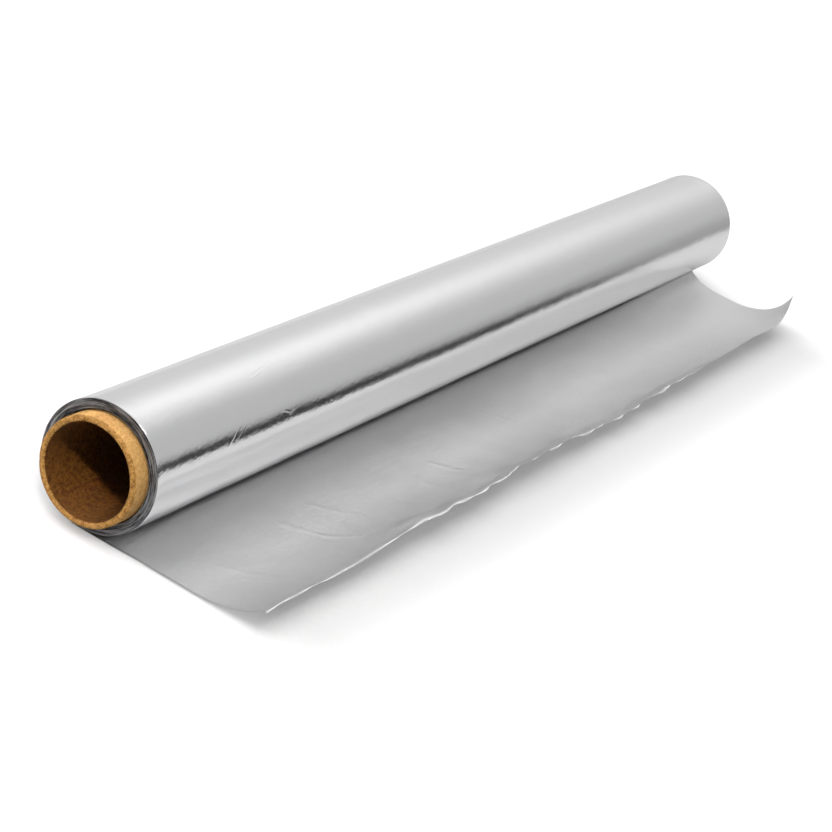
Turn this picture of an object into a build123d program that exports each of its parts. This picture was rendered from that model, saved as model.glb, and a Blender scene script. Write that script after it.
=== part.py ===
from build123d import *
from math import cos, pi, sin
import os

# Aluminium foil roll: foil wound on a cardboard core, with one loose leaf run out in front.
# Millimetres, +Z up. The origin is on the core's axis, half way along the foil. +X runs along
# the core towards the leaf's curled corner, and the leaf runs out towards -Y on the surface
# that the roll lies on.

# Core: a spirally wound cardboard tube, longer than the foil is wide
core_bore_diameter = 31.0
core_wall = 2.0
core_near_stub = 6.3
core_far_stub = 1.6
core_rim_round = 0.8

# Winding: all the turns of foil, as one solid
foil_width = 450.0
winding_build = 3.8
winding_clearance = 0.05
winding_lead_in = 0.5
turn_bands = 9
turn_groove_depth = 0.22
turn_groove_width = 0.12

# Leaf: the outermost turn, unrolled over the table, with its free end curling up
leaf_thickness = 0.3
leaf_root_length = 2.0
leaf_length = 68.0
leaf_flat_length = 42.0
leaf_curl_length = 12.0
leaf_curl_radius = 48.0
leaf_tip_radius = 40.0

# Far corner of the leaf, which curls up earlier and more tightly than the rest of the free edge
corner_width = 26.0
corner_flat_length = 38.0
corner_curl_radius = 33.0
corner_tip_radius = 20.6
corner_steps = 5

# Far side of the leaf, which draws in where the leaf leaves the roll
side_inset = 8.9
side_inset_start = 9.0
side_inset_length = 18.0

# Sizes that follow
core_radius = core_bore_diameter / 2 + core_wall
winding_inner_radius = core_radius + winding_clearance
roll_radius = core_radius + winding_build
near_end = -foil_width / 2
far_end = foil_width / 2
leaf_far_side = far_end - side_inset
table_height = -(roll_radius + leaf_thickness / 2)


def core_tube():
    """A tube along X with rounded rims, standing out of the foil at both ends."""
    length = core_near_stub + foil_width + core_far_stub
    start = near_end - core_near_stub
    wall = Circle(core_radius) - Circle(core_bore_diameter / 2)
    tube = extrude(Plane.YZ.offset(start) * wall, amount=length)
    rims = tube.edges().filter_by(GeomType.CIRCLE)
    return fillet(rims, min(core_rim_round, 0.45 * core_wall))


def turn_face(end, outwards):
    """Points across one end of the winding, from the core out: a lead-in, then grooves between turns."""
    face_inner = winding_inner_radius + winding_lead_in
    band = (roll_radius - face_inner) / turn_bands
    points = [(end - outwards * winding_lead_in, winding_inner_radius)]
    points.append((end, face_inner))
    for index in range(1, turn_bands):
        radius = face_inner + index * band
        points.append((end, radius - turn_groove_width / 2))
        points.append((end - outwards * turn_groove_depth, radius))
        points.append((end, radius + turn_groove_width / 2))
    points.append((end, roll_radius))
    return points


def winding():
    """The wound turns: a thick sleeve, revolved about X, with the edges of its turns on both ends."""
    near_face = turn_face(near_end, -1)
    far_face = turn_face(far_end, 1)
    profile = make_face(Polyline(*near_face, *reversed(far_face), close=True))
    return revolve(profile, Axis.X)


def curl_point(centre, radius, angle):
    """The point of an upward curl at an angle from its lowest point."""
    return (centre[0] + radius * sin(angle), centre[1] - radius * cos(angle))


def leaf_section(position, flat_length, curl_radius, tip_radius):
    """The leaf cut across at one place along the roll: a flat, a curl and a tip, forward and up."""
    tip_length = leaf_length - flat_length - leaf_curl_length
    curl_angle = leaf_curl_length / curl_radius
    end_angle = curl_angle + tip_length / tip_radius
    mid_angle = (curl_angle + end_angle) / 2
    curl_centre = (flat_length, curl_radius)
    reach = curl_radius - tip_radius
    tip_centre = (
        curl_centre[0] + reach * sin(curl_angle),
        curl_centre[1] - reach * cos(curl_angle),
    )

    def face_line(depth):
        """One face of the leaf, from its root to its free edge."""
        curl, tip = curl_radius - depth, tip_radius - depth
        root = (-leaf_root_length, depth)
        flat = (flat_length, depth)
        bend = curl_point(curl_centre, curl, curl_angle)
        edge = curl_point(tip_centre, tip, end_angle)
        return [
            Line(root, flat),
            ThreePointArc(flat, curl_point(curl_centre, curl, curl_angle / 2), bend),
            ThreePointArc(bend, curl_point(tip_centre, tip, mid_angle), edge),
        ]

    under, over = face_line(0), face_line(leaf_thickness)
    edge_cut = Line(under[-1] @ 1, over[-1] @ 1)
    root_cut = Line(over[0] @ 0, under[0] @ 0)
    outline = make_face(Curve() + [*under, edge_cut, *over, root_cut])
    across = Plane(origin=(position, 0, table_height), x_dir=(0, -1, 0), z_dir=(-1, 0, 0))
    return across * outline


def corner_station(share):
    """The leaf's section at a share of the way into the far corner, eased from the plain section."""
    ease = (1 - cos(pi * share)) / 2
    return leaf_section(
        leaf_far_side - (1 - share) * corner_width,
        (1 - ease) * leaf_flat_length + ease * corner_flat_length,
        1 / ((1 - ease) / leaf_curl_radius + ease / corner_curl_radius),
        1 / ((1 - ease) / leaf_tip_radius + ease / corner_tip_radius),
    )


def side_cut():
    """A block that draws the leaf's far side in: slanting away from the roll, then straight."""
    beyond = leaf_length + side_inset_length
    outline = make_face(
        Polyline(
            (far_end, -side_inset_start),
            (leaf_far_side, -side_inset_start - side_inset_length),
            (leaf_far_side, -beyond),
            (far_end + side_inset, -beyond),
            (far_end + side_inset, -side_inset_start),
            close=True,
        )
    )
    return extrude(Plane.XY.offset(table_height - leaf_thickness) * outline, amount=2 * roll_radius)


def leaf():
    """The leaf: a straight run of one section, a loft into the far corner's curl, and its far side."""
    stations = [corner_station(step / corner_steps) for step in range(corner_steps + 1)]
    plain = leaf_section(near_end, leaf_flat_length, leaf_curl_radius, leaf_tip_radius)
    straight = extrude(plain, amount=leaf_far_side - corner_width - near_end, dir=(1, 0, 0))
    end_run = extrude(stations[-1], amount=side_inset, dir=(1, 0, 0)) - side_cut()
    return straight + loft(stations) + end_run


def foil():
    """The whole length of foil as one piece: the winding and the leaf that runs out of it."""
    return winding() + leaf()


os.makedirs("parts", exist_ok=True)
export_step(core_tube(), "parts/core_tube.step")
export_step(foil(), "parts/foil.step")
print("roll diameter", 2 * roll_radius, "core diameter", 2 * core_radius, "table at", table_height)
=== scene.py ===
# %% [markdown]
# # A roll of kitchen foil
# A long roll of aluminium foil lies on a white table. Its foil is wound on a cardboard core, and a short
# leaf has been run out in front, with a free edge that curls up. Foil is a mirror with a grain, so most
# of its look is what it reflects: this lesson spends as much care on the studio as on the roll.
#
# The solids of the roll are loaded first, as a fixed frame. Every piece is then drawn in that frame, so
# nothing has to be fitted afterwards.

import bpy
import numpy as np
from mathutils import Matrix


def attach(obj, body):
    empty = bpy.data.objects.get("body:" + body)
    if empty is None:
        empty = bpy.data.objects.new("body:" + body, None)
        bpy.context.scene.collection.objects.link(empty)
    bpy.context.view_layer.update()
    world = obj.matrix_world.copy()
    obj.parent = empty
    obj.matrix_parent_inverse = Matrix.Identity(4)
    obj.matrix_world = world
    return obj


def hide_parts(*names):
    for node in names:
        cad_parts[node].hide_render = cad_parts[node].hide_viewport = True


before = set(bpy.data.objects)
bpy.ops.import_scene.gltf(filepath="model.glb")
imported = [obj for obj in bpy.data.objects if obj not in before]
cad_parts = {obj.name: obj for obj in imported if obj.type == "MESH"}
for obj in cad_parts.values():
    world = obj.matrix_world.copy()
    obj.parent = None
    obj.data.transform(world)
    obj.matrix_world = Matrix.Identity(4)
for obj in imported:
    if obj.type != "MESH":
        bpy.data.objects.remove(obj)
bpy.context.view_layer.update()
MM = 0.001
print("solids:", sorted(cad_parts))

# %% [markdown]
# The sizes repeat the ones that the solids were built from, in millimetres. X runs along the core, and the
# leaf runs out towards -Y. The middle of the solid leaf is level with the foot of the roll, so the table
# lies half a leaf lower.

# %% Sizes in millimetres
FOIL_WIDTH = 450.0
NEAR, FAR = -FOIL_WIDTH / 2, FOIL_WIDTH / 2
BORE_R, CORE_R, ROLL_R = 15.5, 17.5, 21.3
NEAR_STUB, FAR_STUB = 6.3, 1.6
CORE_NEAR, CORE_FAR = NEAR - NEAR_STUB, FAR + FAR_STUB
LEAF_LENGTH, LEAF_FLAT, LEAF_CURL, LEAF_TUCK = 68.0, 42.0, 12.0, 4.0
CURL_R, TIP_R = 48.0, 40.0
CORNER_WIDTH, CORNER_FLAT, CORNER_CURL_R, CORNER_TIP_R = 26.0, 38.0, 33.0, 20.6
SIDE_INSET, INSET_START, INSET_LENGTH = 8.9, 9.0, 18.0
SOLID_LEAF = 0.3
TABLE_Z = -(ROLL_R + SOLID_LEAF / 2)
print("roll:", FOIL_WIDTH, "mm wide and", 2 * ROLL_R, "mm thick, table at", round(TABLE_Z, 2), "mm")

# %% [markdown]
# Every piece is a grid of points: a function of two parameters, worked out for the whole grid at once. It
# could be pushed about by hand instead, but a formula gives each bend a number that can be changed later.
# These helpers turn a grid into a mesh. A grid that closes on itself gets wrapped faces, so that no seam
# is left open, and a UV map keeps the two parameters in metres for finishes that follow the sheet.


# %% A grid of points becomes a mesh
def grid_faces(rows, columns, wrap_rows=False, wrap_columns=False):
    """Quads between neighbours: corner (i, j) with (i+1, j), (i+1, j+1), (i, j+1), wrapping if asked."""
    i = np.arange(rows if wrap_rows else rows - 1)
    j = np.arange(columns if wrap_columns else columns - 1)
    i, j = np.meshgrid(i, j, indexing="ij")
    i2, j2 = (i + 1) % rows, (j + 1) % columns
    quads = np.stack([i * columns + j, i2 * columns + j, i2 * columns + j2, i * columns + j2], axis=-1)
    return quads.reshape(-1, 4)


def make_piece(name, points, faces, uv, materials, face_material):
    """A piece from points (n, 3) in millimetres, quads (m, 4), corner UVs (m, 4, 2) and a slot per face."""
    mesh = bpy.data.meshes.new(name)
    mesh.from_pydata((points * MM).tolist(), [], faces.tolist())
    layer = mesh.uv_layers.new(name="sheet")
    layer.data.foreach_set("uv", np.asarray(uv * MM, dtype=np.float32).ravel())
    for material in materials:
        mesh.materials.append(material)
    mesh.polygons.foreach_set("material_index", np.asarray(face_material, dtype=np.int32))
    mesh.polygons.foreach_set("use_smooth", np.ones(len(faces), dtype=bool))
    mesh.update()
    piece = bpy.data.objects.new(name, mesh)
    bpy.context.scene.collection.objects.link(piece)
    print(name, "has", len(points), "points and", len(faces), "faces")
    return piece


print("a sheet of 3 by 4 points has", len(grid_faces(3, 4)), "faces")

# %% [markdown]
# Real foil is never quite even. A displacement texture could give it waves, but a sum of cosines in random
# directions is as soft, and each sum comes out the same way every time from its own seed. A smooth step,
# and a window made of two of them, say where on the sheet a thing happens.


# %% Soft waves, steps and windows
def waves(u, v, count, fine, stretch=1.0, seed=0):
    """A soft random field: a sum of cosines with random directions and phases, of wavelength about fine."""
    draw = np.random.default_rng(seed)
    size = draw.uniform(0.5, 1.0, count) * 2 * np.pi / fine
    turn = draw.uniform(0, 2 * np.pi, count)
    phase = draw.uniform(0, 2 * np.pi, count)
    fu, fv = size * np.cos(turn) / stretch, size * np.sin(turn)
    field = np.zeros(np.broadcast(u, v).shape)
    for a, b, c in zip(fu, fv, phase):
        field += np.cos(a * u + b * v + c)
    return field / np.sqrt(count)


def smooth(x, low, high):
    """0 below low, 1 above high, and an even S-shaped rise between them."""
    t = np.clip((x - low) / (high - low), 0, 1)
    return t * t * (3 - 2 * t)


def between(x, start, full, fading, gone):
    """A window: a smooth rise from start to full, times one minus a smooth rise from fading to gone."""
    return smooth(x, start, full) * (1 - smooth(x, fading, gone))


print("a window half way up its rise:", between(0.5, 0, 1, 2, 3))

# %% [markdown]
# A finish is a tree of shader nodes. It could be wired by hand in the Shader Editor. Written out, each node
# and each wire is a line, so a few helpers keep the finishes short enough to read.


# %% Helpers for nodes
def link(tree, source, target):
    """A wire from an output socket to an input socket."""
    tree.links.new(source, target)


def add(tree, kind, **settings):
    """A node with its settings; settings that name an input socket become that socket's value."""
    node = tree.nodes.new(kind)
    for key, value in settings.items():
        if hasattr(node, key):
            setattr(node, key, value)
        else:
            node.inputs[key].default_value = value
    return node


def maths(tree, operation, a, b=None, clamp=False):
    """One Math node; a and b are sockets or numbers."""
    node = tree.nodes.new("ShaderNodeMath")
    node.operation, node.use_clamp = operation, clamp
    for index, value in enumerate((a, b)):
        if value is None:
            continue
        if isinstance(value, (int, float)):
            node.inputs[index].default_value = value
        else:
            link(tree, value, node.inputs[index])
    return node.outputs[0]


def noise(tree, place, scale, detail, roughness, stretch=None):
    """Noise between 0 and 1 at a place, which is first multiplied by stretch along each axis if given."""
    if stretch is not None:
        mapping = add(tree, "ShaderNodeMapping", Scale=stretch)
        link(tree, place, mapping.inputs["Vector"])
        place = mapping.outputs[0]
    node = add(tree, "ShaderNodeTexNoise", Scale=scale, Detail=detail, Roughness=roughness)
    link(tree, place, node.inputs["Vector"])
    return node.outputs["Fac"]


# %% An empty node group
FLOAT, VECTOR, COLOUR = "NodeSocketFloat", "NodeSocketVector", "NodeSocketColor"


def new_group(name, inputs, outputs):
    """An empty node group: inputs are (name, kind, default) and outputs are (name, kind)."""
    group = bpy.data.node_groups.new(name, "ShaderNodeTree")
    for label, kind, default in inputs:
        socket = group.interface.new_socket(label, in_out="INPUT", socket_type=kind)
        if default is not None:
            socket.default_value = default
    for label, kind in outputs:
        group.interface.new_socket(label, in_out="OUTPUT", socket_type=kind)
    print("group:", name)
    return group, group.nodes.new("NodeGroupInput"), group.nodes.new("NodeGroupOutput")


# %% [markdown]
# Foil is rolled between steel drums, which leave very fine lines along its length. Two finishes share
# that grain: the bright outside of the roll and the satin inside of the leaf. So the grain is a node
# group, with the strength of its lines, dimples and smudges set by each material.

# %% Shared grain of rolled foil
grain, grain_in, grain_out = new_group(
    "rolled_grain",
    [("Sheet", VECTOR, None), ("Line Depth", FLOAT, 0.5),
     ("Dimple Depth", FLOAT, 0.5), ("Smudge", FLOAT, 0.1)],
    [("Height", FLOAT), ("Smudge", FLOAT), ("Tone", FLOAT)],
)
grain_sheet = grain_in.outputs["Sheet"]
lines = noise(grain, grain_sheet, scale=1.0, detail=2.0, roughness=0.6, stretch=(2600, 26, 1))
dimples = noise(grain, grain_sheet, scale=650.0, detail=3.0, roughness=0.6)
bands = noise(grain, grain_sheet, scale=1.0, detail=3.0, roughness=0.55, stretch=(180, 3, 1))
smudges = noise(grain, grain_sheet, scale=55.0, detail=4.0, roughness=0.6)
line_height = maths(grain, "MULTIPLY", lines, grain_in.outputs["Line Depth"])
dimple_height = maths(grain, "MULTIPLY", dimples, grain_in.outputs["Dimple Depth"])
smudge_share = maths(grain, "MULTIPLY", maths(grain, "SUBTRACT", smudges, 0.5), grain_in.outputs["Smudge"])
link(grain, maths(grain, "ADD", line_height, dimple_height), grain_out.inputs["Height"])
link(grain, smudge_share, grain_out.inputs["Smudge"])
link(grain, bands, grain_out.inputs["Tone"])
print(grain.name, "has", len(grain.nodes), "nodes")

# %% [markdown]
# Foil keeps every knock as a short crease with straight, glinting sides. Modelled, creases so small would
# need a far finer mesh, so they are relief. A mark is a line on the sheet with a width and a depth. The
# nearest place on the line is its start plus a clamped share of its length, and the height of the mark
# falls evenly with the distance from there.


# %% Shared pressed mark
def vector(tree, operation, a, b=None, output="Vector"):
    """One Vector Math node on one or two vector sockets; output picks its vector or its value."""
    node = add(tree, "ShaderNodeVectorMath", operation=operation)
    link(tree, a, node.inputs[0])
    if b is not None:
        link(tree, b, node.inputs[1])
    return node.outputs[output]


mark, mark_in, mark_out = new_group(
    "pressed_mark",
    [("Sheet", VECTOR, None), ("From", VECTOR, None), ("To", VECTOR, None),
     ("Width", FLOAT, 0.001), ("Depth", FLOAT, 1.0)],
    [("Height", FLOAT)],
)
mark_line = vector(mark, "SUBTRACT", mark_in.outputs["To"], mark_in.outputs["From"])
mark_place = vector(mark, "SUBTRACT", mark_in.outputs["Sheet"], mark_in.outputs["From"])
mark_share = maths(mark, "DIVIDE", vector(mark, "DOT_PRODUCT", mark_place, mark_line, "Value"),
                   vector(mark, "DOT_PRODUCT", mark_line, mark_line, "Value"), clamp=True)
nearest = add(mark, "ShaderNodeVectorMath", operation="SCALE")
link(mark, mark_line, nearest.inputs[0])
link(mark, mark_share, nearest.inputs["Scale"])
from_line = vector(mark, "SUBTRACT", mark_place, nearest.outputs["Vector"])
gap = vector(mark, "LENGTH", from_line, output="Value")
inside_mark = maths(mark, "SUBTRACT", 1.0, maths(mark, "DIVIDE", gap, mark_in.outputs["Width"]), clamp=True)
link(mark, maths(mark, "MULTIPLY", inside_mark, mark_in.outputs["Depth"]), mark_out.inputs["Height"])
print(mark.name, "has", len(mark.nodes), "nodes")

# %% [markdown]
# The bright finish is bare metal with a low roughness, blurred along the roll by its grain. The satin
# finish is the same metal, greyer and rougher. Only what varies over the sheet goes through the groups: a
# number that is the same all over is set on the shader itself, where an export can read it.


# %% Helpers for finishes
def new_finish(name):
    """A material with nodes: the material, its tree and its Principled BSDF."""
    material = bpy.data.materials.new(name)
    material.use_nodes = True
    print("finish:", name)
    return material, material.node_tree, material.node_tree.nodes["Principled BSDF"]


def place_group(tree, group, values):
    """A node group placed in a material, with a number, a colour or a socket for each named input."""
    node = add(tree, "ShaderNodeGroup", node_tree=group)
    for label, value in values.items():
        if isinstance(value, bpy.types.NodeSocket):
            link(tree, value, node.inputs[label])
        else:
            node.inputs[label].default_value = value
    return node


def add_relief(tree, shader, height, strength, distance):
    """A Bump node from a height to the shader's normal; a height of 1 stands distance high, in metres."""
    relief = add(tree, "ShaderNodeBump", Strength=strength, Distance=distance)
    link(tree, height, relief.inputs["Height"])
    link(tree, relief.outputs["Normal"], shader.inputs["Normal"])


# %% Metal of the foil
def foil_finish(name, pale, dark, metallic, rough, line_depth, dimple_depth, smudge, bump, marks):
    """Rolled metal: colour between dark and pale by bands, roughness by smudges, bump by grain and marks."""
    material, tree, metal = new_finish(name)
    metal.inputs["Metallic"].default_value = metallic
    metal.inputs["Anisotropic"].default_value = 0.5
    sheet = add(tree, "ShaderNodeUVMap", uv_map="sheet").outputs["UV"]
    tangent = add(tree, "ShaderNodeTangent", direction_type="UV_MAP", uv_map="sheet")
    link(tree, tangent.outputs[0], metal.inputs["Tangent"])
    rolled = place_group(tree, grain, {
        "Sheet": sheet, "Line Depth": line_depth, "Dimple Depth": dimple_depth, "Smudge": smudge})
    tone = add(tree, "ShaderNodeMix", data_type="RGBA")
    tone.inputs["A"].default_value = (*dark, 1)
    tone.inputs["B"].default_value = (*pale, 1)
    link(tree, rolled.outputs["Tone"], tone.inputs["Factor"])
    link(tree, tone.outputs["Result"], metal.inputs["Base Color"])
    link(tree, maths(tree, "ADD", rolled.outputs["Smudge"], rough), metal.inputs["Roughness"])
    height = rolled.outputs["Height"]
    for along_1, out_1, along_2, out_2, width, depth in marks:
        pressed = place_group(tree, mark, {
            "Sheet": sheet, "From": (along_1 * MM, out_1 * MM, 0), "To": (along_2 * MM, out_2 * MM, 0),
            "Width": width * MM, "Depth": depth})
        height = maths(tree, "ADD", height, pressed.outputs["Height"])
    add_relief(tree, metal, height, bump, distance=0.00002)
    return material


# %% [markdown]
# The marks are a short list for each finish: where a crease starts and ends, how wide it is to each side
# and how deep. A negative depth presses the other way. On the roll it is handier to think of the angle up
# from the front, so that is turned into a distance round the roll.


# %% Bright and satin foil
def around_roll(degrees):
    """Distance round the roll from its back: half the way round, less the arc up from its front."""
    return np.pi * ROLL_R - np.radians(degrees) * ROLL_R


# along in millimetres and angle in degrees, twice, then width in millimetres and depth
ROLL_MARKS = [
    (-187.0, 19, -179.0, 32, 0.30, 2.2), (-183.5, 19, -178.0, 28, 0.25, -1.6),
    (-182.0, 21, -176.0, 31, 0.25, 1.6), (-155.0, 28, -151.5, 25, 0.7, 3.0),
    (-153.0, 28.5, -150.5, 26, 0.5, -3.0), (-151.0, 24, -147.5, 26, 0.5, 3.0),
    (-163.0, 66, -157.5, 68.5, 0.35, 3.0), (-160.0, 71, -152.0, 74, 0.35, 2.5),
    (-120.0, 52, -112.0, 53, 0.35, 2.0), (140.0, 24, 143.0, 19, 0.6, 4.0),
]
# along and run out in millimetres, twice, then width in millimetres and depth
LEAF_MARKS = [
    (-163, 34, -155.5, 47.5, 2.2, 9.0), (-160, 41, -157, 48, 1.6, -6.0),
    (-143, 32, -137, 40.5, 2.0, 7.0), (-73, 40, -68, 48, 1.9, 11.0),
    (-69, 46, -65, 49, 1.4, -8.0), (-156, 46, -147, 54.5, 1.9, 7.0),
    (-205, 38, -196, 52, 2.2, 6.0), (-110, 48, -104, 58, 2.0, -6.0),
    (60, 28, 66, 40, 2.2, 5.0), (122, 36, 131, 46, 2.2, 5.0), (-20, 25, -12, 38, 2.2, 5.0),
]
bright_foil = foil_finish(
    "bright_foil", pale=(0.92, 0.92, 0.925), dark=(0.90, 0.90, 0.905), metallic=1.0, rough=0.15,
    line_depth=0.8, dimple_depth=6.0, smudge=0.10, bump=0.5,
    marks=[(x1, around_roll(up1), x2, around_roll(up2), *size) for x1, up1, x2, up2, *size in ROLL_MARKS])
satin_foil = foil_finish(
    "satin_foil", pale=(0.73, 0.73, 0.735), dark=(0.70, 0.70, 0.705), metallic=0.90, rough=0.38,
    line_depth=0.6, dimple_depth=15.0, smudge=0.12, bump=0.5, marks=LEAF_MARKS)

# %% [markdown]
# On the roll's ends hundreds of cut edges show as rings. A few dozen rings are modelled, and the finest
# ones are a noise that depends on the distance from the axis, so that it runs round in circles.


# %% Cut edges of the turns
def length_of(tree, a, b):
    """Square root of a times a plus b times b."""
    squares = [maths(tree, "MULTIPLY", side, side) for side in (a, b)]
    return maths(tree, "SQRT", maths(tree, "ADD", *squares))


def turn_edge_finish(name, dark, pale, rings_per_metre, drift):
    """Metal whose tone follows the radius: noise of the radius, with a little drift, mixes dark and pale."""
    material, tree, metal = new_finish(name)
    metal.inputs["Metallic"].default_value = 1.0
    metal.inputs["Roughness"].default_value = 0.38
    place = add(tree, "ShaderNodeTexCoord")
    apart = add(tree, "ShaderNodeSeparateXYZ")
    link(tree, place.outputs["Object"], apart.inputs[0])
    y, z = apart.outputs["Y"], apart.outputs["Z"]
    ring_place = add(tree, "ShaderNodeCombineXYZ")
    link(tree, maths(tree, "MULTIPLY", length_of(tree, y, z), rings_per_metre), ring_place.inputs["X"])
    link(tree, maths(tree, "MULTIPLY", y, drift), ring_place.inputs["Y"])
    link(tree, maths(tree, "MULTIPLY", z, drift), ring_place.inputs["Z"])
    rings = noise(tree, ring_place.outputs[0], scale=1.0, detail=4.0, roughness=0.75)
    ramp = add(tree, "ShaderNodeValToRGB")
    low, high = ramp.color_ramp.elements
    low.position, low.color = 0.42, (*dark, 1)
    high.position, high.color = 0.66, (*pale, 1)
    link(tree, rings, ramp.inputs["Fac"])
    link(tree, ramp.outputs["Color"], metal.inputs["Base Color"])
    add_relief(tree, metal, rings, strength=0.6, distance=0.0001)
    return material


turn_edges = turn_edge_finish(
    "turn_edges", dark=(0.025, 0.027, 0.032), pale=(0.66, 0.67, 0.70), rings_per_metre=2900.0, drift=90.0)

# %% [markdown]
# Cardboard is a second family of finishes: the pasted outer ply of the core is pale kraft paper, and its
# cut end shows loose, darker fibre. All have the same short fibres and mottling, so those are a group too.

# %% Shared fibres of kraft board
fibre, fibre_in, fibre_out = new_group(
    "kraft_fibre",
    [("Place", VECTOR, None), ("Pale", COLOUR, None), ("Dark", COLOUR, None), ("Contrast", FLOAT, 0.5)],
    [("Colour", COLOUR), ("Height", FLOAT)],
)
board_place = fibre_in.outputs["Place"]
strands = noise(fibre, board_place, scale=1.0, detail=5.0, roughness=0.65, stretch=(900, 2200, 2200))
mottle = noise(fibre, board_place, scale=700.0, detail=5.0, roughness=0.75)
both = maths(fibre, "ADD", maths(fibre, "MULTIPLY", strands, 0.45), maths(fibre, "MULTIPLY", mottle, 0.55))
spread = maths(fibre, "MULTIPLY", maths(fibre, "SUBTRACT", both, 0.5), fibre_in.outputs["Contrast"])
share = maths(fibre, "ADD", maths(fibre, "MULTIPLY", spread, 4.0), 0.5, clamp=True)
blend = add(fibre, "ShaderNodeMix", data_type="RGBA")
link(fibre, share, blend.inputs["Factor"])
link(fibre, fibre_in.outputs["Dark"], blend.inputs["A"])
link(fibre, fibre_in.outputs["Pale"], blend.inputs["B"])
link(fibre, blend.outputs["Result"], fibre_out.inputs["Colour"])
link(fibre, both, fibre_out.inputs["Height"])
print(fibre.name, "has", len(fibre.nodes), "nodes")

# %% [markdown]
# The core shows board in three states: the smooth outer ply, the rough cut rim, and the bore, a plainer ply
# whose colours are painted very dark, as painted shade for the inside of the tube. A picture of cardboard
# could be wrapped round it, but the fibre group needs no picture and no seam. Each state gets its own two
# colours and its own contrast.


# %% Kraft board, outside, cut and inside
def board_finish(name, pale, dark, contrast, rough, bump):
    """Matte board: the fibre group's colour and relief on a rough surface that isn't metal."""
    material, tree, board = new_finish(name)
    board.inputs["Roughness"].default_value = rough
    board.inputs["Specular IOR Level"].default_value = 0.25
    place = add(tree, "ShaderNodeTexCoord")
    fibres = place_group(tree, fibre, {
        "Place": place.outputs["Object"], "Pale": (*pale, 1), "Dark": (*dark, 1), "Contrast": contrast})
    link(tree, fibres.outputs["Colour"], board.inputs["Base Color"])
    add_relief(tree, board, fibres.outputs["Height"], bump, distance=0.0002)
    return material


board_face = board_finish(
    "board_face", pale=(0.70, 0.42, 0.15), dark=(0.40, 0.20, 0.052), contrast=1.0, rough=0.8, bump=0.7)
board_cut = board_finish(
    "board_cut", pale=(0.60, 0.32, 0.092), dark=(0.20, 0.085, 0.015), contrast=1.4, rough=0.9, bump=1.2)
# The bore's two colours are painted shade: far darker than the board, for the shadow deep inside the tube.
bore_board_painted_shade = board_finish(
    "bore_board_painted_shade", pale=(0.24, 0.094, 0.017), dark=(0.06, 0.021, 0.004), contrast=1.1, rough=0.85, bump=0.8)

# %% [markdown]
# The core is a spirally wound tube. It could be two cylinders and two rings, joined. Here its section is
# one long thin ring: along the outside, round the far rim, back along the bore and round the near rim. A
# rim is two quarter circles, so the cut edge is a little soft, as worn board is.

# %% Profile of the core
RIM, STUB_ROWS, COVERED_ROWS, BORE_ROWS = 0.8, 12, 90, 200
near_rim, far_rim = CORE_NEAR + RIM, CORE_FAR - RIM
outer_rim, inner_rim = CORE_R - RIM, BORE_R + RIM
stub_x = near_rim + np.linspace(0, 1, STUB_ROWS) * 9
out_x = np.concatenate([stub_x, np.linspace(NEAR + 6, far_rim, COVERED_ROWS)])
bend = np.linspace(0, np.pi / 2, 7)[1:]
rim_rows = 2 * bend.size - 1
profile_x = np.concatenate([
    out_x,
    far_rim + RIM * np.sin(bend), far_rim + RIM * np.cos(bend[:-1]),
    np.linspace(far_rim, near_rim, BORE_ROWS),
    near_rim - RIM * np.sin(bend), near_rim - RIM * np.cos(bend[:-1]),
])
profile_r = np.concatenate([
    np.full(out_x.size, CORE_R),
    outer_rim + RIM * np.cos(bend), inner_rim - RIM * np.sin(bend[:-1]),
    np.full(BORE_ROWS, BORE_R),
    inner_rim - RIM * np.cos(bend), outer_rim + RIM * np.sin(bend[:-1]),
])
core_zone = np.repeat([0, 1, 2, 1], [out_x.size, rim_rows, BORE_ROWS, rim_rows])
print("core profile has", profile_x.size, "points")

# %% [markdown]
# The profile is carried round the axis. The joint between the plies is a shallow helix, which shows in the
# bore and on the stub: a groove where the place along the tube, counted in turns of the ply, meets the
# angle. The near rim is worn unevenly by soft waves. In the closing column of faces the UV map runs on to
# the full circle, so that no finish is squeezed backwards there.


# %% Cardboard core
def round_uv(profile, faces, columns, radius):
    """UVs of a profile carried round the axis: the place along it, and the angle times the radius."""
    column = faces % columns
    closing = (column == 0) & (column.max(axis=1, keepdims=True) == columns - 1)
    column = np.where(closing, columns, column)
    return np.stack([profile[faces // columns], column * (2 * np.pi / columns) * radius], axis=-1)


CORE_COLUMNS, PLY_PITCH, PLY_JOINT, PLY_DEPTH = 160, 78.0, 0.6, 0.10
WEAR_REACH, CUT_HALF = 1.2, 0.3
angle = np.linspace(0, 2 * np.pi, CORE_COLUMNS, endpoint=False)
px, pr = profile_x[:, None], profile_r[:, None]
mid_r = (BORE_R + CORE_R) / 2
round_y, round_z = np.cos(angle), np.sin(angle)
wear = 0.07 * waves(round_y * 30, round_z * 30, count=14, fine=14, seed=3)
ragged = 0.05 * waves(round_y * 40, round_z * 40, count=12, fine=12, seed=5)
seam = (px / PLY_PITCH + angle / (2 * np.pi)) % 1.0
seam_depth = PLY_DEPTH * np.exp(-((np.minimum(seam, 1 - seam) * PLY_PITCH / PLY_JOINT) ** 2))
into_board = np.where(pr > mid_r, -1.0, 1.0)
core_r = pr + smooth(-np.abs(px - CORE_NEAR), -WEAR_REACH, 0) * wear + into_board * seam_depth
core_x = px + ragged * (np.abs(pr - mid_r) < CUT_HALF)
core_points = np.stack([core_x, core_r * round_y, core_r * round_z], axis=-1)
core_faces = grid_faces(profile_x.size, CORE_COLUMNS, True, True)[:, ::-1]
core = make_piece("cardboard_core", core_points.reshape(-1, 3), core_faces,
                  round_uv(profile_x, core_faces, CORE_COLUMNS, CORE_R),
                  [board_face, board_cut, bore_board_painted_shade], np.repeat(core_zone, CORE_COLUMNS))
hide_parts("core_tube")
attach(core, "root")

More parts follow.
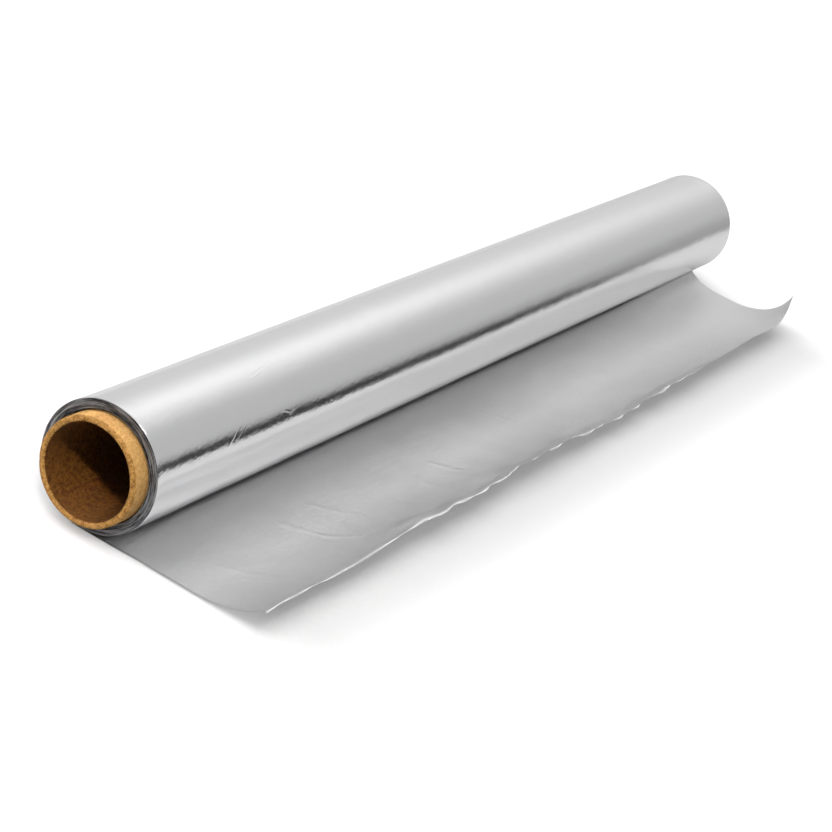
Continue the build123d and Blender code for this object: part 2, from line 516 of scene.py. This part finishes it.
# %% [markdown]
# The winding is one closed skin carried round the axis: across the near end over the edges of the turns,
# along the bright outside, back across the far end and along the bore. A real spiral of foil would have
# hundreds of sheets thinner than a pixel, so each end has rings instead, four to a turn, with a groove at
# the start of each turn.

# %% Profile of the winding
TURNS, PER_TURN, TURN_GROOVE = 18, 4, 0.14
GLUE_GAP, LEAD_IN, FIRST_RING = 0.05, 2.4, 0.35
EDGE, EDGE_ROWS, OUTER_ROWS = 0.12, 4, 300
face_inner = CORE_R + GLUE_GAP
steps = np.arange(TURNS * PER_TURN)
ring_r = face_inner + FIRST_RING + (ROLL_R - EDGE - face_inner - FIRST_RING) * (steps + 0.5) / steps.size
ring_turn = steps // PER_TURN
ring_groove = np.where(steps % PER_TURN == 0, TURN_GROOVE, 0.0)
edge = np.linspace(0, np.pi / 2, EDGE_ROWS + 1)
wind_r = np.concatenate([
    [face_inner], ring_r, ROLL_R - EDGE + EDGE * np.sin(edge[:-1]),
    np.full(OUTER_ROWS, ROLL_R),
    ROLL_R - EDGE + EDGE * np.cos(edge[1:]), ring_r[::-1], [face_inner],
])
wind_x = np.concatenate([
    [NEAR + LEAD_IN], np.full(ring_r.size, NEAR), NEAR + EDGE - EDGE * np.cos(edge[:-1]),
    np.linspace(NEAR + EDGE, FAR - EDGE, OUTER_ROWS),
    FAR - EDGE + EDGE * np.sin(edge[1:]), np.full(ring_r.size, FAR), [FAR - LEAD_IN],
])
end_rows, skin_rows = 1 + ring_r.size + EDGE_ROWS, OUTER_ROWS + 2 * EDGE_ROWS
wind_zone = np.repeat([0, 1, 0], [end_rows, OUTER_ROWS, end_rows])
print("winding profile has", wind_x.size, "points,", steps.size, "of them rings on each end")

# %% [markdown]
# No two turns end at quite the same place. Each turn is set in by a random distance, which also changes a
# little round the roll, so that the rings catch the light unevenly.

# %% Uneven ends of the turns
WIND_COLUMNS = 176
turn_angle = np.linspace(0, 2 * np.pi, WIND_COLUMNS, endpoint=False)
draw = np.random.default_rng(8)
turn_inset = draw.normal(0, 0.13, TURNS)[:, None]
turn_lobes = draw.integers(1, 4, TURNS)[:, None]
turn_phase = draw.uniform(0, 6.3, TURNS)[:, None]
set_in = np.abs(turn_inset + 0.05 * np.cos(turn_angle * turn_lobes + turn_phase))
ring_part = np.concatenate([[-1], ring_turn, np.full(skin_rows, -1), ring_turn[::-1], [-1]])
groove = np.concatenate([[0], ring_groove, np.zeros(skin_rows), ring_groove[::-1], [0]])
ring_shift = np.where(ring_part[:, None] >= 0, set_in[np.maximum(ring_part, 0)] + groove[:, None], 0.0)
inwards = np.where(wind_x < 0, 1.0, -1.0)[:, None]
wx = wind_x[:, None] + inwards * ring_shift
print("turns are set in by up to", round(float(ring_shift.max()), 2), "mm")

# %% [markdown]
# The outside isn't a perfect cylinder: soft waves of less than a tenth of a millimetre, in three sizes,
# make the reflections waver. They only press inwards, so the roll stays inside its solid. Angle 0 is at
# the back of the roll. The waves fade out there, so that the skin closes on itself.

# %% Wound turns
WAVE_ROOM, WAVE_FADE = 0.12, 9
around = turn_angle * ROLL_R
loose = 0.04 * waves(wx, around, count=18, fine=60, stretch=3.0, seed=11)
loose = loose + 0.022 * waves(wx, around, count=20, fine=14, stretch=1.5, seed=12)
loose = loose + 0.008 * waves(wx, around, count=24, fine=6, stretch=1.5, seed=13)
from_back = np.minimum(turn_angle, 2 * np.pi - turn_angle)
fade = smooth(from_back, 0.0, 0.6) * smooth(-np.abs(wx), NEAR, NEAR + WAVE_FADE)
pressed_in = np.maximum(WAVE_ROOM + loose, 0) * fade
wr = wind_r[:, None] - np.where(wind_zone[:, None] == 1, pressed_in, 0.0)
wind_points = np.stack([wx, wr * np.cos(turn_angle), wr * np.sin(turn_angle)], axis=-1)
wind_faces = grid_faces(wind_x.size, WIND_COLUMNS, True, True)[:, ::-1]
winding = make_piece("foil_winding", wind_points.reshape(-1, 3), wind_faces,
                     round_uv(wind_x, wind_faces, WIND_COLUMNS, ROLL_R),
                     [turn_edges, bright_foil], np.repeat(wind_zone, WIND_COLUMNS))
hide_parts("foil")
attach(winding, "root")

# %% [markdown]
# The leaf is the free end of the foil, one sheet with two parameters: the place along the roll, and the
# distance run out from under it. A cloth simulation could let it fall, but foil keeps the bends it is
# given, so they are worked out. The grid is finer towards the free edge, where the bends are tightest. The
# far side of the leaf runs a little inwards from the roll's end.

# %% Grid of the leaf
spacing = np.concatenate([
    np.linspace(-LEAF_TUCK, LEAF_FLAT, 34)[:-1],
    np.linspace(LEAF_FLAT, LEAF_LENGTH - 5, 27)[:-1],
    np.linspace(LEAF_LENGTH - 5, LEAF_LENGTH - 1, 22)[:-1],
    np.linspace(LEAF_LENGTH - 1, LEAF_LENGTH, 14),
])[None, :]
LEAF_X, LEAF_S = 500, spacing.size
across = np.linspace(0, 1, LEAF_X)[:, None]
far_side = FAR - SIDE_INSET * smooth(spacing, INSET_START - 8, INSET_START + INSET_LENGTH / 2)
along = NEAR + across * (far_side - NEAR)
straight = NEAR + across * FOIL_WIDTH
print("leaf grid:", LEAF_X, "by", LEAF_S, "points")

# %% [markdown]
# The free edge was torn off along a cutter. Its line wanders in long waves, with a fine tooth on top, and
# it is rougher where the foil is crumpled. The rows near the edge are stretched to follow it.

# %% Torn edge
crumpled = between(straight, -165, -120, -50, 0) + 0.35 * between(straight, -50, 0, 100, 150)
torn = 0.40 * waves(straight, 0, count=10, fine=60, seed=21)
torn = torn + 0.08 * waves(straight, 0, count=16, fine=4, seed=27)
torn = torn + (0.14 + 0.26 * crumpled) * waves(straight, 0, count=16, fine=14, seed=22)
torn = torn * between(across, 0, 0.03, 0.95, 0.98) + 2.6 * smooth(across, 0.955, 1)
run = spacing + torn * smooth(spacing, LEAF_LENGTH - 8, LEAF_LENGTH)
from_edge = LEAF_LENGTH + torn - run
print("torn line is off straight by up to", round(float(np.abs(torn).max()), 1), "mm")

# %% [markdown]
# The leaf lies flat, then bends up, with a tighter bend towards its tip and the tightest in the far corner.
# Curvature, one over the radius, is the handy measure, because bends can simply be added to it.

# %% Curl of the leaf
corner_start = FAR - SIDE_INSET - CORNER_WIDTH
corner = 0.5 - 0.5 * np.cos(np.pi * np.clip((along - corner_start) / CORNER_WIDTH, 0, 1))
past_flat = run - ((1 - corner) * LEAF_FLAT + corner * CORNER_FLAT)
curl_bend = (1 - corner) / CURL_R + corner / CORNER_CURL_R
tip_bend = (1 - corner) / TIP_R + corner / CORNER_TIP_R
curvature = curl_bend * smooth(past_flat, -2, 2)
curvature = curvature + (tip_bend - curl_bend) * smooth(past_flat - LEAF_CURL, -2, 2)
uneven = waves(straight, 0, count=8, fine=90, seed=23) * between(across, 0, 0.08, 0.88, 0.96)
curvature = curvature * (1 + 0.12 * uneven)
print("tightest curl has a radius of", round(float(1 / curvature.max()), 1), "mm")

# %% [markdown]
# A folded band runs along the free edge, wider in the middle of the leaf, where it was worked by hand. The
# last half millimetre is a lip that bends back down. It is nearly whole at the near end and broken further
# on, and it fades out before the far corner. Both are short windows of extra curvature.

# %% Folded band and bent lip
BAND_BEND, LIP_BEND = 0.12, 4.0
worked = between(straight, -120, -40, 110, 150)
band = np.clip(0.35 + 0.75 * worked + 0.25 * waves(straight, 0, count=9, fine=60, seed=24), 0.1, 1.4)
band = band * between(across, 0.01, 0.08, 0.86, 0.94)
into_band = 2.4 + 4.4 * worked + 0.5 * waves(straight, 0, count=8, fine=40, seed=26) - from_edge
near_lip = 1 - smooth(straight, -130, -60)
whole_lip = 0.80 + 0.36 * waves(straight, 0, count=12, fine=17, seed=25)
broken_lip = 0.50 + 0.44 * waves(straight, 0, count=14, fine=13, seed=28)
lip = np.clip(near_lip * whole_lip + (1 - near_lip) * broken_lip, 0.0, 1.1)
lip = lip * (1 - smooth(across, 0.66, 0.78))
curvature = curvature + BAND_BEND * band * between(into_band, 0, 0.5, 1.0, 1.5)
curvature = curvature - LIP_BEND * lip * between(-from_edge, -0.66, -0.54, -0.36, -0.24)
print("lip is bent along", round(float((lip > 0.3).mean()) * 100), "percent of the edge")

# %% [markdown]
# The bend angle is the sum of the curvature over the distance run out. The place is then the sum of the
# cosine and of the sine of that angle. Each sum takes the middle value of every step.


# %% From curvature to places
def middle(values):
    """Middle of each pair of neighbours along the rows."""
    return (values[:, 1:] + values[:, :-1]) / 2


def summed(start, parts):
    """Running sum along the rows, with a first column of start."""
    return np.concatenate([start, start + np.cumsum(parts, axis=1)], axis=1)


run_step = np.diff(run, axis=1)
level = np.zeros((LEAF_X, 1))
bend_angle = summed(level, middle(curvature) * run_step)
forward = summed(run[:, :1], np.cos(middle(bend_angle)) * run_step)
upward = summed(level, np.sin(middle(bend_angle)) * run_step)
print("leaf curls up to", round(float(upward.max()), 1), "mm")

# %% [markdown]
# Where it leaves the roll, the leaf clings to it for a little and then sweeps down to the table, most of
# all at the far end. Its height is the lower of two curves: the roll's own circle, and a soft hill.

# %% Leaving the roll
CLING_GAP, SWEEP_HIGH, SWEEP_PLACE, SWEEP_WIDE, FAR_NARROWER = 0.10, 4.4, 9.0, 13.0, 3.5
clinging = ROLL_R + CLING_GAP - np.sqrt(np.maximum(ROLL_R ** 2 - np.clip(forward, 0, 20) ** 2, 0))
at_far = smooth(along, 110, 215)
sweep_wide = SWEEP_WIDE - FAR_NARROWER * at_far
sweep = SWEEP_HIGH * np.exp(-((np.maximum(forward, 0) - SWEEP_PLACE) / sweep_wide) ** 2)
cling_share = 0.42 * smooth(along, NEAR, NEAR + 45) + 0.58 * at_far
stands_off = np.minimum(clinging, sweep) * smooth(forward, 0, 2) * cling_share
upward = upward + stands_off
print("leaf stands off the table by up to", round(float(stands_off.max()), 1), "mm beside the roll")

# %% [markdown]
# Handling leaves creases and soft swells. A crease is a short ridge on the sheet: its height falls off
# quickly to its sides and gently towards its ends. They are laid at random, with more swelling in the
# crumpled part of the edge, and fade out under the roll, where the foil is held.

# %% Creases and swells
CREASES, CREASE_SIDE, LEAF_LOOSE = 22, 1.6, 0.45
draw = np.random.default_rng(31)
crease_x = draw.uniform(NEAR, FAR, CREASES)[:, None, None]
crease_s = draw.uniform(8, LEAF_LENGTH, CREASES)[:, None, None]
crease_turn = draw.uniform(0, np.pi, CREASES)[:, None, None]
crease_half = draw.uniform(4, 16, CREASES)[:, None, None]
crease_high = draw.uniform(-0.10, 0.14, CREASES)[:, None, None]
dx, ds = along - crease_x, run - crease_s
down_line = dx * np.cos(crease_turn) + ds * np.sin(crease_turn)
off_line = -dx * np.sin(crease_turn) + ds * np.cos(crease_turn)
ridge = crease_high * np.exp(-np.abs(off_line) / CREASE_SIDE) * np.exp(-((down_line / crease_half) ** 2))
swell = 0.20 * waves(along, run, count=16, fine=46, stretch=1.6, seed=41)
swell = swell + 0.03 * waves(along, run, count=24, fine=13, seed=42)
ruffle = waves(along, run, count=22, fine=14, stretch=1.4, seed=43)
swell = swell + 0.50 * crumpled * smooth(-from_edge, -11, -4) * ruffle
rise = np.maximum(LEAF_LOOSE + swell + ridge.sum(axis=0), 0) * smooth(run, 4, 22)
print("creases and swells rise to", round(float(rise.max()), 2), "mm")

# %% [markdown]
# The rise is added square to the sheet, and a second layer above the first gives the foil a thickness. A
# strip of faces round the border joins the two. The upper face is satin, the lower face and the bent lip
# are bright. The sheet's flat size is its width and the length run out, with the part under the roll.

# %% Loose leaf
LEAF_THICK, TABLE_GAP, LIP_WIDTH = 0.06, 0.02, 0.36
square = np.stack([0 * upward, np.sin(bend_angle), np.cos(bend_angle)], axis=-1)
lower = np.stack([along, -forward, TABLE_Z + TABLE_GAP + upward], axis=-1) + square * rise[..., None]
upper = lower + square * LEAF_THICK
count = LEAF_X * LEAF_S
number = np.arange(count).reshape(LEAF_X, LEAF_S)
border = np.concatenate([number[0], number[1:, -1], number[-1, -2::-1], number[-2:0:-1, 0]])
border_next = np.roll(border, -1)
under_faces = grid_faces(LEAF_X, LEAF_S)
top_faces = (under_faces + count)[:, ::-1]
rim_faces = np.stack([border, border_next, border_next + count, border + count], axis=-1)[:, ::-1]
leaf_faces = np.concatenate([under_faces, top_faces, rim_faces])
leaf_points = np.concatenate([lower.reshape(-1, 3), upper.reshape(-1, 3)])
flat_uv = np.concatenate([np.stack([along, run], axis=-1).reshape(-1, 2)] * 2)
top_slot = np.where(from_edge.ravel()[under_faces].mean(axis=1) < LIP_WIDTH, 0, 1)
leaf_slots = np.concatenate([np.zeros(len(under_faces)), top_slot, np.zeros(len(rim_faces))])
leaf = make_piece("foil_leaf", leaf_points, leaf_faces, flat_uv[leaf_faces],
                  [bright_foil, satin_foil], leaf_slots)
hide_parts("foil")
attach(leaf, "root")

# %% [markdown]
# The studio starts with a white table. White paper under a lamp comes out grey in a render, unless the lamp
# is so strong that the foil burns out. So the paper is lit plainly, and a glow that only the camera sees,
# and reflections faintly, lifts it to white. The glow is weak under the roll, where the table has its
# shadow, and rises with the distance from there. Far out a little more is added, up to the horizon.


# %% Helpers for the table's glow
def open_finish(name):
    """A material without a shader: the material, its tree and the input that takes one."""
    material, tree, shader = new_finish(name)
    tree.nodes.remove(shader)
    return material, tree, tree.nodes["Material Output"].inputs["Surface"]


def past(tree, place, centre, half):
    """How far a coordinate lies outside a span: its distance from the centre less half the span, or 0."""
    off = maths(tree, "ABSOLUTE", maths(tree, "SUBTRACT", place, centre))
    return maths(tree, "MAXIMUM", maths(tree, "SUBTRACT", off, half), 0.0)


def map_range(tree, value, low, high, start, end):
    """A smooth change from start to end while the value goes from low to high."""
    node = add(tree, "ShaderNodeMapRange", interpolation_type="SMOOTHSTEP")
    for socket, limit in zip(("From Min", "From Max", "To Min", "To Max"), (low, high, start, end)):
        node.inputs[socket].default_value = limit
    link(tree, value, node.inputs["Value"])
    return node.outputs["Result"]


# %% Look of the table
SHADE_CENTRE, SHADE_HALF = (-0.0065, -0.022), (0.1975, 0.044)
MIRROR_SHARE = 0.2
table_look, tree, surface = open_finish("white_table")
paper = add(tree, "ShaderNodeBsdfDiffuse", Color=(0.56, 0.56, 0.56, 1))
path = add(tree, "ShaderNodeLightPath")
place = add(tree, "ShaderNodeTexCoord")
apart = add(tree, "ShaderNodeSeparateXYZ")
link(tree, place.outputs["Object"], apart.inputs[0])
past_end = past(tree, apart.outputs["X"], SHADE_CENTRE[0], SHADE_HALF[0])
past_side = past(tree, apart.outputs["Y"], SHADE_CENTRE[1], SHADE_HALF[1])
away = length_of(tree, past_end, past_side)
in_camera = path.outputs["Is Camera Ray"]
in_mirror = maths(tree, "MAXIMUM", path.outputs["Is Glossy Ray"], path.outputs["Is Transmission Ray"])
seen = maths(tree, "MAXIMUM", in_camera, maths(tree, "MULTIPLY", in_mirror, MIRROR_SHARE))
near_glow = maths(tree, "MULTIPLY", seen, map_range(tree, away, low=0.0, high=0.055, start=0.18, end=0.69))
far_glow = maths(tree, "MULTIPLY", in_camera, map_range(tree, away, low=0.6, high=1.8, start=0.0, end=0.45))
glow = add(tree, "ShaderNodeEmission")
link(tree, maths(tree, "ADD", near_glow, far_glow), glow.inputs["Strength"])
total = add(tree, "ShaderNodeAddShader")
link(tree, paper.outputs[0], total.inputs[0])
link(tree, glow.outputs[0], total.inputs[1])
link(tree, total.outputs[0], surface)
print(table_look.name, "has", len(tree.nodes), "nodes")

# %% [markdown]
# The table itself is a single large face. It and the screens that follow belong to the studio and not to
# the roll.


# %% Table
def studio_sheet(name, points, look):
    """A grid of points in metres as one object of the studio, with one look."""
    mesh = bpy.data.meshes.new(name)
    mesh.from_pydata(points.reshape(-1, 3).tolist(), [], grid_faces(*points.shape[:2]).tolist())
    mesh.materials.append(look)
    sheet = bpy.data.objects.new(name, mesh)
    bpy.context.scene.collection.objects.link(sheet)
    print(name, "has", len(mesh.polygons), "faces")
    return sheet


TABLE_REACH = 3.2
table_x, table_y = np.meshgrid([-TABLE_REACH, TABLE_REACH], [-TABLE_REACH, TABLE_REACH], indexing="ij")
table_points = np.stack([table_x, table_y, 0 * table_x + TABLE_Z * MM], axis=-1)
table = studio_sheet("table_top", table_points, table_look)

# %% [markdown]
# Metal shows its surroundings, so the roll needs something to show. A picture of a room could be wrapped
# round it, but a plain wall with soft shades is easier to tune. It is a ring round the table that only
# reflections see: mid-grey in front and darker near the table, paler behind, darkest low down at the near
# end, with one bright patch and one bright band high up. Each point keeps its shade, and the wall glows by
# it. Azimuth is counted from +X towards +Y, and elevation up from the table, both in degrees.

# %% A screen that only reflections see
screen_look, tree, surface = open_finish("studio_wall")
glow = add(tree, "ShaderNodeEmission")
link(tree, add(tree, "ShaderNodeAttribute", attribute_name="shade").outputs["Fac"], glow.inputs["Color"])
link(tree, glow.outputs[0], surface)


def reflected_screen(name, points, shade):
    """A sheet of the studio that only reflections see, with a shade for each of its points."""
    screen = studio_sheet(name, points, screen_look)
    tone = screen.data.attributes.new("shade", "FLOAT", "POINT")
    tone.data.foreach_set("value", shade.ravel().astype(np.float32))
    screen.visible_camera = screen.visible_diffuse = screen.visible_shadow = False
    return screen


# %% Wall that the foil reflects
WALL_R = 3.0
az, el = np.meshgrid(np.linspace(-180, 180, 181), np.linspace(-0.5, 62, 64), indexing="ij")
turned, raised = np.radians(az), np.radians(el)
wall_points = WALL_R * np.stack([np.cos(turned), np.sin(turned), np.tan(raised)], axis=-1)
wall_points[..., 2] += TABLE_Z * MM
wall_shade = 0.60 + 0.20 * smooth(az, -24, 12) - 0.17 * smooth(-az, 8, 26) * (1 - smooth(el, 4, 15))
wall_shade = wall_shade + 0.44 * np.exp(-(((az - 16) / 21) ** 2) - ((el - 38) / 13) ** 2)
wall_shade = 0.84 * wall_shade + 2.0 * smooth(el, 40, 54) * between(-az, 2, 26, 100, 130)
near_end = smooth(np.abs(az), 80, 120) * (1 - smooth(el, 14, 46))
wall_shade = wall_shade * (1 - near_end) + 0.16 * near_end
wall = reflected_screen("studio_wall", wall_points, wall_shade)

# %% [markdown]
# The front of the roll has a dark band along it. In a studio such a band comes from a flag, a strip of
# black card held in front of shiny metal. This one stands before the leaf and is shaped as a row of
# columns: where its foot and its top are, and how dark it is. Towards its top it fades to grey.

# %% Dark flag
FLAG_Y, FLAG_GREY = -0.15, 0.40
flag_x = np.array([-0.20, -0.054, 0.0, 0.05, 0.097, 0.17, 0.244, 0.30, 0.36, 0.44, 0.70])[:, None]
flag_foot = np.array([-0.001, -0.001, -0.006, -0.010] + [-0.0195] * 7)[:, None]
flag_top = np.array([0.042, 0.040, 0.038, 0.036, 0.033, 0.031, 0.030, 0.029, 0.029, 0.030, 0.036])[:, None]
flag_dark = np.array([0.03] * 6 + [0.035, 0.07, 0.26, 0.34, 0.37])[:, None]
flag_rows = np.array([0.0, 0.55, 0.72, 1.0])[None, :]
flag_z = flag_foot + (flag_top - flag_foot) * flag_rows
flag_points = np.stack([flag_x + 0 * flag_z, FLAG_Y + 0 * flag_z, flag_z], axis=-1)
flag_shade = flag_dark + (FLAG_GREY - flag_dark) * smooth(flag_rows, 0.55, 1.08)
flag = reflected_screen("dark_flag", flag_points, flag_shade)

# %% [markdown]
# The world fills the rest with even white. The camera and reflections see it at full strength. As a lamp it
# gives only part of that, so that the softbox can shade the roll and lay its shadow on the table.

# %% White world
WORLD_LAMP = 0.38
world = bpy.data.worlds.new("studio_world")
bpy.context.scene.world = world
world.use_nodes = True
tree = world.node_tree
sky = tree.nodes["Background"]
sky.inputs["Color"].default_value = (1, 1, 1, 1)
path = add(tree, "ShaderNodeLightPath")
in_mirror = maths(tree, "MAXIMUM", path.outputs["Is Glossy Ray"], path.outputs["Is Transmission Ray"])
seen = maths(tree, "MAXIMUM", path.outputs["Is Camera Ray"], in_mirror)
strength = maths(tree, "ADD", maths(tree, "MULTIPLY", seen, 1 - WORLD_LAMP), WORLD_LAMP)
link(tree, strength, sky.inputs["Strength"])
print("world lights the roll at", WORLD_LAMP)

# %% [markdown]
# Two softboxes light the roll. The key is large and hangs over the middle, for soft shadows. The other is
# small and narrow, and only reaches into the mouth of the core, which would be black without it. Neither is
# seen in the foil, because the wall already says what the foil shows.


# %% Softboxes
def standing(right, up, back, place):
    """A placement: the columns of its matrix are the three axes and the place."""
    rows = np.stack([right, up, back], axis=1)
    return Matrix([(*row, p) for row, p in zip(rows, place)] + [(0, 0, 0, 1)])


LAMP_TOP = (0.0, 1.0, 0.01)


def softbox(name, place, aim, size, watts):
    """A square area lamp that stands at place and faces aim, both in metres, with its top towards +Y."""
    lamp = bpy.data.lights.new(name, "AREA")
    lamp.shape, lamp.size, lamp.energy = "SQUARE", size, watts
    box = bpy.data.objects.new(name, lamp)
    back = np.array(place) - np.array(aim)
    back = back / np.linalg.norm(back)
    right = np.cross(LAMP_TOP, back)
    right = right / np.linalg.norm(right)
    box.matrix_world = standing(right, np.cross(back, right), back, place)
    bpy.context.scene.collection.objects.link(box)
    print(name, "of", size, "m gives", watts, "W")
    return box


key = softbox("key_softbox", place=(-0.35, 0.35, 1.6), aim=(-0.1, 0, 0), size=2.2, watts=33)
mouth = softbox("mouth_softbox", place=(-1.25, -0.45, 1.25), aim=(-0.27, 0.03, 0), size=0.2, watts=0.075)
mouth.data.spread = np.radians(6)
key.visible_glossy = mouth.visible_glossy = False

# %% [markdown]
# The camera stands low at the near end, a little to the leaf's side, with a long lens, and leans so that
# the roll climbs across the picture. Its three axes were fitted to the outline of the roll. The Standard
# view keeps each colour about as it is written.

# %% Camera
lens = bpy.data.cameras.new("camera")
lens.sensor_width, lens.lens, lens.shift_y = 36.0, 105.36, -0.0024
lens.clip_start, lens.clip_end = 0.01, 50
camera = bpy.data.objects.new("camera", lens)
camera.matrix_world = standing(
    right=(0.48180341, -0.82488202, 0.29569433),
    up=(0.22888473, 0.44419441, 0.86620038),
    back=(-0.84585889, -0.34965838, 0.40281728),
    place=(-0.787716, -0.323639, 0.332984))
bpy.context.scene.collection.objects.link(camera)
bpy.context.scene.camera = camera
bpy.context.scene.view_settings.view_transform = "Standard"
print("lens of", round(lens.lens, 1), "mm")
